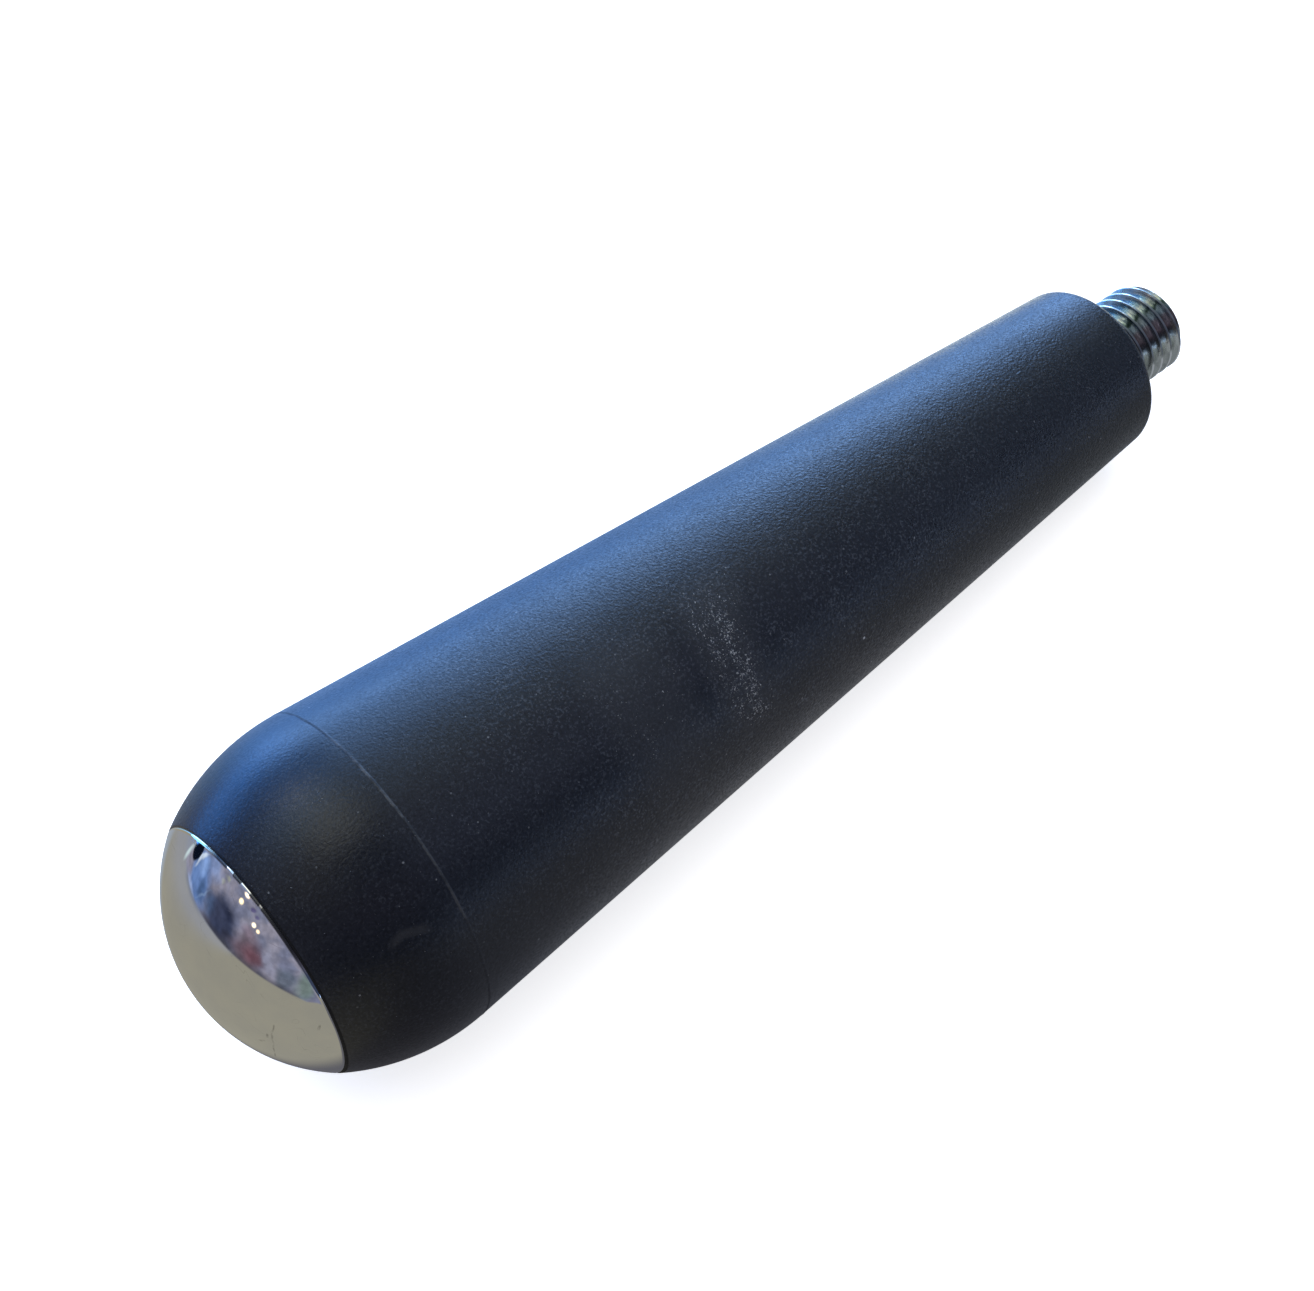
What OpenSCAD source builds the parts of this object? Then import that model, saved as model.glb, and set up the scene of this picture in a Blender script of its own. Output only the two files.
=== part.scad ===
// Portafilter handle: a tapered black moulding with a moulded-in M12 stud at
// the front and a chrome cap snapped into the round butt.
// Frame: the origin is the centre of the flat front face, where the handle
// seats. +X runs out along the stud, the grip lies along -X, +Z is up.

/* [Grip] */
// Radius of the taper where it would meet the front face
front_r = 10.9; // [10.5:0.1:12]
// Half-angle of the straight taper, degrees
taper_deg = 4; // [3.6:0.1:4.4]
// Length of the straight taper, from the front face to the widest place
taper_len = 112; // [108:1:118]
// Radius of the rounded front edge
front_round = 1.2; // [0.8:0.1:2]
// Radius of the arc that rounds the butt down to the cap
butt_arc_r = 24; // [24:0.5:25]
// Length of the rounded butt, from the widest place to the cap's rim
butt_len = 14.8; // [14:0.2:15.2]
// Height of the fine moulding line round the widest place
witness_h = 0.1; // [0.05:0.01:0.2]
// Half-width of that moulding line
witness_w = 0.22; // [0.15:0.01:0.4]

/* [Core] */
// Radius of the mouth that takes the cap's spigot
mouth_r = 12.6; // [12:0.1:12.8]
// Depth of the mouth, behind the cap's rim
mouth_depth = 8; // [7:0.5:10]
// Radius of the hollow core just past the mouth
core_back_r = 12; // [11:0.1:12]
// Radius of the hollow core at its front end
core_front_r = 8.4; // [7.5:0.1:9]
// Solid length left at the front, around the stud
boss_len = 42; // [36:1:50]
// Radius that rounds the end of the core
core_round = 3; // [2:0.5:4]

/* [Stud] */
// Thread size, outside radius of M12
stud_r = 6; // [6:0.5:6]
// Length of stud that stands out of the front face
stud_out = 12.5; // [11:0.5:16]
// Chamfer on the free end
stud_chamfer = 1; // [0.8:0.1:1.2]
// Radius of the neck where the thread runs out, inside the front face
neck_r = 5; // [4.8:0.1:5.2]
// Length of the neck
neck_len = 3; // [2:0.5:4]
// Hexagonal anchor, across flats
anchor_af = 14; // [13:0.5:15]
// Length of the anchor
anchor_len = 26; // [22:1:30]
// Radius of the anchor's waist
waist_r = 5.4; // [5.2:0.1:6]
// Length of the anchor's waist
waist_len = 5; // [4:0.5:6]

/* [Cap] */
// Radius of the domed outside
dome_r = 19; // [18.8:0.1:19.4]
// Wall of the dome
cap_wall = 1.4; // [1.2:0.1:1.8]
// Wall of the spigot
spigot_wall = 1.5; // [1.3:0.1:1.8]
// Length of the spigot
spigot_len = 7; // [6:0.5:7]
// How far the snap bead stands out of the spigot
bead_h = 0.4; // [0.3:0.05:0.5]
// Depth and width of the fine gap round the rim
rim_gap = 0.3; // [0.2:0.05:0.4]

/* [Hidden] */
$fn = 96;
e = 1;                                   // run-over of cutters, mm

wide_r = front_r + taper_len * tan(taper_deg);      // at the moulding line
arc_z = -taper_len - butt_arc_r * sin(taper_deg);   // centre of the butt arc
arc_c = wide_r - butt_arc_r * cos(taper_deg);       // its radius coordinate
rim_x = -taper_len - butt_len;                      // plane of the cap's rim
// radius of the butt arc at a place on the axis
function butt_r(x) = arc_c + sqrt(butt_arc_r * butt_arc_r - (x - arc_z) * (x - arc_z));
rim_r = butt_r(rim_x);
dome_x = rim_x + sqrt(dome_r * dome_r - rim_r * rim_r);   // centre of the dome
bead_x = rim_x + spigot_len - 1.6;                  // middle of the snap bead

// Turns a half-section, drawn as [radius, place on the axis], about the X axis
module turned() rotate([0, 90, 0]) rotate_extrude() children();
// A plain round bar on the X axis
module bar(r, x0, x1) translate([x0, 0, 0]) rotate([0, 90, 0]) cylinder(r = r, h = x1 - x0);

// Half-section of the outside of the grip
butt_steps = 18;
front_steps = 8;
function taper_r(x) = front_r - x * tan(taper_deg);
outside = concat(
    [[0, rim_x]],
    // rounded butt, from the rim forward to the moulding line
    [for (i = [0 : butt_steps - 1])
        let (x = rim_x + (butt_len - witness_w) * i / (butt_steps - 1)) [butt_r(x), x]],
    // the moulding line itself
    [[wide_r + witness_h, -taper_len],
     [taper_r(-taper_len + witness_w), -taper_len + witness_w]],
    // straight taper, then the rounded front edge
    [for (i = [0 : front_steps])
        let (a = taper_deg + (90 - taper_deg) * i / front_steps,
             xc = -front_round,
             rc = taper_r(xc + front_round * sin(taper_deg)) - front_round * cos(taper_deg))
        [rc + front_round * cos(a), xc + front_round * sin(a)]],
    [[0, 0]]);

// Half-section of the hollow core, drawn out through the mouth
core_x0 = rim_x + mouth_depth;
core_x1 = -boss_len;
core = concat(
    [[0, core_x0 - e], [core_back_r, core_x0 - e], [core_back_r, core_x0]],
    [for (i = [0 : 8])
        let (a = 90 * i / 8)
        [core_front_r - core_round + core_round * cos(a), core_x1 - core_round + core_round * sin(a)]],
    [[0, core_x1]]);

// Half-section of the spigot's outside, with its snap bead
function spigot(clear) = [
    [0, rim_x - clear],
    [mouth_r, rim_x - clear],
    [mouth_r, bead_x - 1.2],
    [mouth_r + bead_h, bead_x - 0.4],
    [mouth_r + bead_h, bead_x + 0.2],
    [mouth_r, bead_x + 1.2]];
mouth = concat(spigot(e), [[mouth_r, core_x0], [0, core_x0]]);
plug = concat(spigot(e),
    [[mouth_r, rim_x + spigot_len - 0.4], [mouth_r - 0.4, rim_x + spigot_len], [0, rim_x + spigot_len]]);

// Embedded part of the stud: neck, then a hexagonal anchor with a waist
module anchor() {
    bar(neck_r, -neck_len, 0);
    difference() {
        translate([-neck_len - anchor_len, 0, 0]) rotate([0, 90, 0])
            linear_extrude(height = anchor_len) circle(d = anchor_af / cos(30), $fn = 6);
        difference() {
            bar(anchor_af, -neck_len - (anchor_len + waist_len) / 2, -neck_len - (anchor_len - waist_len) / 2);
            bar(waist_r, -neck_len - anchor_len, -neck_len);
        }
    }
}

module grip() {
    color([0.10, 0.11, 0.13])
    difference() {
        turned() polygon(outside);
        turned() polygon(core);
        turned() polygon(mouth);
        anchor();
    }
}

module threaded_stud() {
    color([0.72, 0.76, 0.80])
    union() {
        anchor();
        bar(stud_r, 0, stud_out - stud_chamfer);
        translate([stud_out - stud_chamfer, 0, 0]) rotate([0, 90, 0])
            cylinder(r1 = stud_r, r2 = stud_r - stud_chamfer, h = stud_chamfer);
    }
}

module end_cap() {
    color([0.80, 0.80, 0.78])
    union() {
        // domed outside, hollowed from behind
        difference() {
            intersection() {
                translate([dome_x, 0, 0]) rotate([0, 90, 0]) sphere(r = dome_r);
                bar(rim_r + e, dome_x - dome_r - e, rim_x);
            }
            intersection() {
                translate([dome_x, 0, 0]) rotate([0, 90, 0]) sphere(r = dome_r - cap_wall);
                bar(mouth_r - spigot_wall, dome_x - dome_r, rim_x + e);
            }
            // fine gap round the rim
            difference() {
                bar(rim_r + e, rim_x - rim_gap, rim_x + e);
                bar(rim_r - rim_gap, rim_x - rim_gap - e, rim_x + 2 * e);
            }
        }
        // spigot with its snap bead
        difference() {
            turned() polygon(plug);
            bar(mouth_r - spigot_wall, rim_x - 2 * e, rim_x + spigot_len + e);
        }
    }
}

grip();
threaded_stud();
end_cap();
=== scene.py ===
"""Portafilter handle: the looks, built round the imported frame.

Frame (metres): origin at the centre of the grip's flat front face, +X out
along the stud, the grip along -X, +Z up.
"""
import math

import bmesh
import bpy
from mathutils import Matrix, Vector


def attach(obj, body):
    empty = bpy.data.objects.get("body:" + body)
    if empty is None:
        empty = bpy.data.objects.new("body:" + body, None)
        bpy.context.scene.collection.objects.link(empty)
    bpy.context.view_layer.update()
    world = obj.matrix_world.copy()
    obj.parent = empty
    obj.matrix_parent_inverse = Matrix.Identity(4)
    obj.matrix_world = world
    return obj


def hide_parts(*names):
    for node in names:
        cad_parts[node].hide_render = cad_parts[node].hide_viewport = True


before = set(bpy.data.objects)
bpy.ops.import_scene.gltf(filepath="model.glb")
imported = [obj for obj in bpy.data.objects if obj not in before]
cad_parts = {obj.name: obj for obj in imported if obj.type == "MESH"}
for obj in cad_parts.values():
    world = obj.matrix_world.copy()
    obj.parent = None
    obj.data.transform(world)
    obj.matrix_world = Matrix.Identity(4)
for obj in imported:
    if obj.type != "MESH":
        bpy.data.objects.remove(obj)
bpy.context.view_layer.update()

MM = 0.001
scene = bpy.context.scene
scene.view_settings.view_transform = "Standard"
scene.view_settings.look = "None"

# ---------------------------------------------------------------- sizes, mm
FRONT_R = 10.9
TAPER = math.radians(4.0)
TAPER_LEN = 112.0
FRONT_ROUND = 1.2
BUTT_ARC = 24.0
BUTT_LEN = 14.8
MOUTH_R = 12.6
MOUTH_DEPTH = 8.0
CORE_BACK = 12.0
CORE_FRONT = 8.4
BOSS_LEN = 42.0
CORE_ROUND = 3.0
STUD_R = 6.0
STUD_OUT = 12.5
PITCH = 1.75
NECK_R = 5.0
NECK_LEN = 3.0
ANCHOR_AF = 14.0
ANCHOR_LEN = 26.0
WAIST_R = 5.4
WAIST_LEN = 5.0
DOME_R = 19.0
CAP_WALL = 1.4
SPIGOT_WALL = 1.5
SPIGOT_LEN = 7.0
BEAD_H = 0.4

WIDE_R = FRONT_R + TAPER_LEN * math.tan(TAPER)
ARC_X = -TAPER_LEN - BUTT_ARC * math.sin(TAPER)
ARC_R = WIDE_R - BUTT_ARC * math.cos(TAPER)
RIM_X = -TAPER_LEN - BUTT_LEN


def butt_r(x):
    return ARC_R + math.sqrt(BUTT_ARC ** 2 - (x - ARC_X) ** 2)


def taper_r(x):
    return FRONT_R - x * math.tan(TAPER)


RIM_R = butt_r(RIM_X)
DOME_X = RIM_X + math.sqrt(DOME_R ** 2 - RIM_R ** 2)
BEAD_X = RIM_X + SPIGOT_LEN - 1.6


# ---------------------------------------------------------------- meshes
def turned(name, rings, segs, sharp=30.0):
    """A closed mesh turned about X. Each ring is (radius, x) in mm, where the
    radius may be a function of the angle. The first and last are on the axis."""
    verts, faces = [], []
    start = []
    for r, x in rings:
        start.append(len(verts))
        if not callable(r) and r == 0:
            verts.append((x * MM, 0.0, 0.0))
            continue
        for j in range(segs):
            a = 2 * math.pi * j / segs
            rr = r(a) if callable(r) else r
            verts.append((x * MM, -rr * math.cos(a) * MM, rr * math.sin(a) * MM))
    last = len(rings) - 1
    for i in range(last):
        p, q = start[i], start[i + 1]
        one_p = i == 0
        one_q = i + 1 == last
        for j in range(segs):
            k = (j + 1) % segs
            if one_p:
                faces.append((p, q + j, q + k))
            elif one_q:
                faces.append((p + j, q, p + k))
            else:
                faces.append((p + j, q + j, q + k, p + k))
    return mesh_object(name, verts, faces, sharp)


def mesh_object(name, verts, faces, sharp):
    me = bpy.data.meshes.new(name)
    me.from_pydata(verts, [], faces)
    me.validate()
    bm = bmesh.new()
    bm.from_mesh(me)
    bmesh.ops.remove_doubles(bm, verts=bm.verts, dist=2e-7)
    bmesh.ops.recalc_face_normals(bm, faces=bm.faces)
    bm.to_mesh(me)
    bm.free()
    me.shade_smooth()
    me.set_sharp_from_angle(angle=math.radians(sharp))
    o = bpy.data.objects.new(name, me)
    scene.collection.objects.link(o)
    return o


def arc(cr, cx, rad, a0, a1, n):
    """Points (radius, x) of an arc; the angle is measured from outward to +X."""
    out = []
    for i in range(n + 1):
        a = math.radians(a0 + (a1 - a0) * i / n)
        out.append((cr + rad * math.cos(a), cx + rad * math.sin(a)))
    return out


def hexagon(af):
    def r(a):
        b = math.degrees(a) % 60.0
        return af / 2 / math.cos(math.radians(b - 30.0))
    return r


# the grip: hollow core first, then out through the mouth, over the butt,
# along the taper, round the front edge and into the pocket round the anchor
rings = [(0, -BOSS_LEN)]
core = arc(CORE_FRONT - CORE_ROUND, -BOSS_LEN - CORE_ROUND, CORE_ROUND, 90, 0, 8)
rings += [(r, x) for r, x in core]
core_back_x = RIM_X + MOUTH_DEPTH
for i in range(1, 7):
    t = i / 7
    rings.append((CORE_FRONT + (CORE_BACK - CORE_FRONT) * t, core[-1][1] + (core_back_x - core[-1][1]) * t))
rings += [(CORE_BACK, core_back_x), (MOUTH_R, core_back_x),
          (MOUTH_R, BEAD_X + 1.2), (MOUTH_R + BEAD_H, BEAD_X + 0.2),
          (MOUTH_R + BEAD_H, BEAD_X - 0.4), (MOUTH_R, BEAD_X - 1.2),
          (MOUTH_R, RIM_X)]
# lip: flat ring, then a small edge radius up to the rounded butt
LIP = 0.22
lip_dist = BUTT_ARC - LIP
s = (RIM_X + LIP - ARC_X) / lip_dist           # centre of the lip's radius, inside the butt arc
lip_c = (ARC_R + lip_dist * math.sqrt(1 - s * s), RIM_X + LIP)
butt_a = math.degrees(math.asin(s))             # direction of the butt's normal there
rings.append(((MOUTH_R + lip_c[0]) / 2, RIM_X))
rings += arc(lip_c[0], lip_c[1], LIP, -90, butt_a, 6)
# rounded butt up to the moulding line
SEAM_W = 0.2
SEAM_H = 0.026
a_end = math.degrees(math.asin((-TAPER_LEN - SEAM_W - 0.05 - ARC_X) / BUTT_ARC))
rings += arc(ARC_R, ARC_X, BUTT_ARC, butt_a, a_end, 44)[1:]
# the moulding line: a fine rounded ridge, with a close row on either side
for i in range(-5, 6):
    x = -TAPER_LEN + SEAM_W * i / 5
    base = butt_r(x) if x < -TAPER_LEN else taper_r(x)
    rings.append((base + SEAM_H * (0.5 + 0.5 * math.cos(math.pi * i / 5)), x))
x += 0.05
rings.append((taper_r(x), x))
# straight taper, with a close row before the rounded front edge
front_c = (taper_r(-FRONT_ROUND + FRONT_ROUND * math.sin(TAPER)) - FRONT_ROUND * math.cos(TAPER), -FRONT_ROUND)
front = arc(front_c[0], front_c[1], FRONT_ROUND, math.degrees(TAPER), 90, 12)
n_taper = 56
for i in range(1, n_taper + 1):
    xx = x + (front[0][1] - 0.05 - x) * i / n_taper
    rings.append((taper_r(xx), xx))
rings += front
rings += [(8.0, 0.0), (6.4, 0.0), (NECK_R + 0.02, 0.0), (NECK_R + 0.02, -NECK_LEN)]
pocket = hexagon(ANCHOR_AF + 0.04)
mid = -NECK_LEN - ANCHOR_LEN / 2
rings += [(pocket, -NECK_LEN + 0.02), (pocket, mid + WAIST_LEN / 2 - 0.02),
          (WAIST_R + 0.02, mid + WAIST_LEN / 2 - 0.02), (WAIST_R + 0.02, mid - WAIST_LEN / 2 + 0.02),
          (pocket, mid - WAIST_LEN / 2 + 0.02), (pocket, -NECK_LEN - ANCHOR_LEN - 0.02),
          (0, -NECK_LEN - ANCHOR_LEN - 0.02)]
grip = turned("handle_grip", rings, 288)

# the cap: sphere patch, rolled edge that dips into the rim's gap, spigot with
# its bead, hollow behind
EDGE = 0.35
EDGE_X = RIM_X - 0.06
rings = [(0, DOME_X - DOME_R)]
cos_c = (DOME_X - EDGE_X) / (DOME_R - EDGE)
a_c = math.degrees(math.acos(cos_c))
for i in range(1, 49):
    a = math.radians(a_c * i / 48)
    rings.append((DOME_R * math.sin(a), DOME_X - DOME_R * math.cos(a)))
edge_c = ((DOME_R - EDGE) * math.sin(math.radians(a_c)), EDGE_X)
rings += arc(edge_c[0], edge_c[1], EDGE, -(90 - a_c), 9.8, 10)[1:]
rings += [(edge_c[0] - 0.4, RIM_X), (MOUTH_R + 0.1, RIM_X), (MOUTH_R - 0.02, RIM_X), (MOUTH_R - 0.02, BEAD_X - 1.2),
          (MOUTH_R + BEAD_H - 0.03, BEAD_X - 0.4), (MOUTH_R + BEAD_H - 0.03, BEAD_X + 0.2),
          (MOUTH_R - 0.02, BEAD_X + 1.2), (MOUTH_R - 0.02, RIM_X + SPIGOT_LEN - 0.4),
          (MOUTH_R - 0.4, RIM_X + SPIGOT_LEN), (MOUTH_R - SPIGOT_WALL, RIM_X + SPIGOT_LEN)]
inner = DOME_R - CAP_WALL
a_i = math.degrees(math.asin((MOUTH_R - SPIGOT_WALL) / inner))
for i in range(0, 13):
    a = math.radians(a_i * (1 - i / 13))
    rings.append((inner * math.sin(a), DOME_X - inner * math.cos(a)))
rings.append((0, DOME_X - inner))
cap = turned("end_cap_chrome", rings, 256)


# the stud: true right-hand M12 x 1.75 helix over a hexagonal anchor
def thread_profile():
    """One pitch from crest to crest as (t, radius), crest and root rounded."""
    crest, root = STUD_R - 0.01, STUD_R - 17 / 24 * 0.8660254 * PITCH
    rr, cr = 0.25, 0.07
    pts = []
    half = PITCH / 2
    # crest flat and its rounded corner
    flat = PITCH / 16 - cr * math.tan(math.radians(30)) * 0.6
    pts.append((0.0, crest))
    pts.append((flat, crest))
    for d in (20, 40, 60):
        a = math.radians(d)
        pts.append((flat + cr * math.sin(a), crest - cr * (1 - math.cos(a))))
    # root arc, flank between
    rt = half - rr * math.sin(math.radians(60))
    rz = root + rr * (1 - math.cos(math.radians(60)))
    t0, z0 = pts[-1]
    for i in (1, 2, 3):
        pts.append((t0 + (rt - t0) * i / 4, z0 + (rz - z0) * i / 4))
    for d in (60, 40, 20, 0):
        a = math.radians(d)
        pts.append((half - rr * math.sin(a), root + rr * (1 - math.cos(a))))
    mirror = [(PITCH - t, z) for t, z in pts[1:-1]][::-1]
    return pts + mirror


THREAD = thread_profile()
# turned so that a root crosses the camera's side 6.59 mm from the face
CROSS = math.atan2(0.17597, 0.10516)
LEAD0 = 6.59 - PITCH / 2
# With the angle measured from -Y towards +Z, a right-hand helix about +X
# moves towards -X as the angle grows.
HAND = -1.0
SEGS = 192


def thread_r(x, a):
    """Radius of the threaded part at x (mm) and angle a, for clamped ends."""
    t = (x - LEAD0 - PITCH * (a - CROSS) / (2 * math.pi) * HAND) % PITCH
    for (t0, r0), (t1, r1) in zip(THREAD, THREAD[1:] + [(PITCH, THREAD[0][1])]):
        if t <= t1:
            r = r0 + (r1 - r0) * (t - t0) / max(t1 - t0, 1e-9)
            break
    over = x - (STUD_OUT - 1.0)
    if over > 0:
        # the chamfer
        r = min(r, STUD_R - 0.02 - over)
    return r


n_pts = len(THREAD)
turns = int(STUD_OUT / PITCH) + 4
verts, faces = [], []
cols = []
for j in range(SEGS + 1):
    a = 2 * math.pi * j / SEGS
    col = []
    for k in range(turns * n_pts + 1):
        x = LEAD0 + PITCH * (k // n_pts - 5) + THREAD[k % n_pts][0] + PITCH * (a - CROSS) / (2 * math.pi) * HAND
        xc = min(max(x, 0.0), STUD_OUT)
        col.append((xc, thread_r(xc, a)))
    cols.append(col)


def add_vert(x, r, a):
    verts.append((x * MM, -r * math.cos(a) * MM, r * math.sin(a) * MM))
    return len(verts) - 1


grid = []
for j in range(SEGS):
    a = 2 * math.pi * j / SEGS
    grid.append([add_vert(x, r, a) for x, r in cols[j]])
n_rows = turns * n_pts + 1
shift = n_pts            # one turn on, the helix has moved by a pitch
for j in range(SEGS):
    nxt = grid[(j + 1) % SEGS]
    wrap = j + 1 == SEGS
    for k in range(n_rows - 1):
        # crossing the seam, row k of the last column meets row k - shift of
        # the first, because the helix runs towards -X
        k2 = k - shift if wrap else k
        if k2 < 0 or k2 + 1 >= n_rows:
            continue
        faces.append((grid[j][k], grid[j][k + 1], nxt[k2 + 1], nxt[k2]))
# close the free end, and carry the inner end into the neck and the anchor
tip = [grid[j][n_rows - 1] for j in range(SEGS)]
root_loop = [grid[j][0] for j in range(SEGS)]


def add_ring(r, x):
    ring = []
    for j in range(SEGS):
        a = 2 * math.pi * j / SEGS
        ring.append(add_vert(x, r(a) if callable(r) else r, a))
    return ring


def bridge(p, q):
    for j in range(SEGS):
        k = (j + 1) % SEGS
        faces.append((p[j], q[j], q[k], p[k]))


prev = tip
for r, x in ((4.82, STUD_OUT), (3.4, STUD_OUT), (1.6, STUD_OUT)):
    ring = add_ring(r, x)
    bridge(prev, ring)
    prev = ring
c = add_vert(STUD_OUT, 0.0, 0.0)
for j in range(SEGS):
    faces.append((prev[j], c, prev[(j + 1) % SEGS]))
prev = root_loop
hexa = hexagon(ANCHOR_AF)
for r, x in ((4.9, 0.0), (4.98, -0.12), (NECK_R, -0.3), (NECK_R, -NECK_LEN), (hexa, -NECK_LEN),
             (hexa, mid + WAIST_LEN / 2), (WAIST_R, mid + WAIST_LEN / 2), (WAIST_R, mid - WAIST_LEN / 2),
             (hexa, mid - WAIST_LEN / 2), (hexa, -NECK_LEN - ANCHOR_LEN)):
    ring = add_ring(r, x)
    bridge(ring, prev)
    prev = ring
c = add_vert(-NECK_LEN - ANCHOR_LEN, 0.0, 0.0)
for j in range(SEGS):
    faces.append((prev[(j + 1) % SEGS], c, prev[j]))
stud = mesh_object("stud_m12", verts, faces, 40.0)

for piece, node, slot in ((grip, "grip", "grip_plastic"), (cap, "end_cap", "cap_chrome"),
                          (stud, "threaded_stud", "zinc_steel")):
    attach(piece, "root")
    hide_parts(node)


# ---------------------------------------------------------------- node help
class Nodes:
    """Short names for building a node tree."""

    def __init__(self, tree):
        self.t = tree
        tree.nodes.clear()

    def add(self, kind, **props):
        n = self.t.nodes.new(kind)
        for k, v in props.items():
            setattr(n, k, v)
        return n

    def put(self, socket, value):
        if isinstance(value, bpy.types.NodeSocket):
            self.t.links.new(value, socket)
        elif value is not None:
            if isinstance(value, (tuple, list)) and len(value) == 3 and len(socket.default_value) == 4:
                value = (*value, 1.0)
            socket.default_value = value

    def m(self, op, a, b=None, c=None, clamp=False):
        n = self.add("ShaderNodeMath", operation=op, use_clamp=clamp)
        for s, v in zip(n.inputs, (a, b, c)):
            self.put(s, v)
        return n.outputs[0]

    def prod(self, *values):
        out = values[0]
        for v in values[1:]:
            out = self.m("MULTIPLY", out, v)
        return out

    def sum(self, *values):
        out = values[0]
        for v in values[1:]:
            out = self.m("ADD", out, v)
        return out

    def v(self, op, a, b=None, scale=None):
        n = self.add("ShaderNodeVectorMath", operation=op)
        self.put(n.inputs[0], a)
        if b is not None:
            self.put(n.inputs[1], b)
        if scale is not None:
            self.put(n.inputs["Scale"], scale)
        return n.outputs["Value"] if op in ("LENGTH", "DOT_PRODUCT", "DISTANCE") else n.outputs[0]

    def xyz(self, vector):
        n = self.add("ShaderNodeSeparateXYZ")
        self.put(n.inputs[0], vector)
        return n.outputs

    def vec(self, x, y, z):
        n = self.add("ShaderNodeCombineXYZ")
        for s, v in zip(n.inputs, (x, y, z)):
            self.put(s, v)
        return n.outputs[0]

    def ramp(self, value, a, b, c=0.0, d=1.0, smooth=True):
        n = self.add("ShaderNodeMapRange", interpolation_type="SMOOTHSTEP" if smooth else "LINEAR")
        for s, v in zip(n.inputs, (value, a, b, c, d)):
            self.put(s, v)
        return n.outputs[0]

    def mix(self, fac, a, b, kind="MIX"):
        n = self.add("ShaderNodeMix", data_type="RGBA", blend_type=kind)
        self.put(n.inputs[0], fac)
        self.put(n.inputs[6], a)
        self.put(n.inputs[7], b)
        return n.outputs[2]

    def noise(self, vector, scale, detail=2.0, rough=0.5, distort=0.0):
        n = self.add("ShaderNodeTexNoise")
        self.put(n.inputs["Vector"], vector)
        n.inputs["Scale"].default_value = scale
        n.inputs["Detail"].default_value = detail
        n.inputs["Roughness"].default_value = rough
        n.inputs["Distortion"].default_value = distort
        return n.outputs

    def voronoi(self, vector, scale, feature="F1", random=1.0):
        n = self.add("ShaderNodeTexVoronoi", feature=feature)
        self.put(n.inputs["Vector"], vector)
        n.inputs["Scale"].default_value = scale
        n.inputs["Randomness"].default_value = random
        return n.outputs

    def bump(self, height, strength, distance, normal=None):
        n = self.add("ShaderNodeBump")
        n.inputs["Strength"].default_value = strength
        n.inputs["Distance"].default_value = distance
        self.put(n.inputs["Height"], height)
        self.put(n.inputs["Normal"], normal)
        return n.outputs[0]

    def band(self, value, centre, half, soft):
        """1 within half of centre, fading to 0 over soft."""
        d = self.m("ABSOLUTE", self.m("SUBTRACT", value, centre))
        return self.ramp(d, half, half + soft, 1.0, 0.0)


def material(name):
    mat = bpy.data.materials.new(name)
    mat.use_nodes = True
    n = Nodes(mat.node_tree)
    out = n.add("ShaderNodeOutputMaterial")
    return mat, n, out


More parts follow.
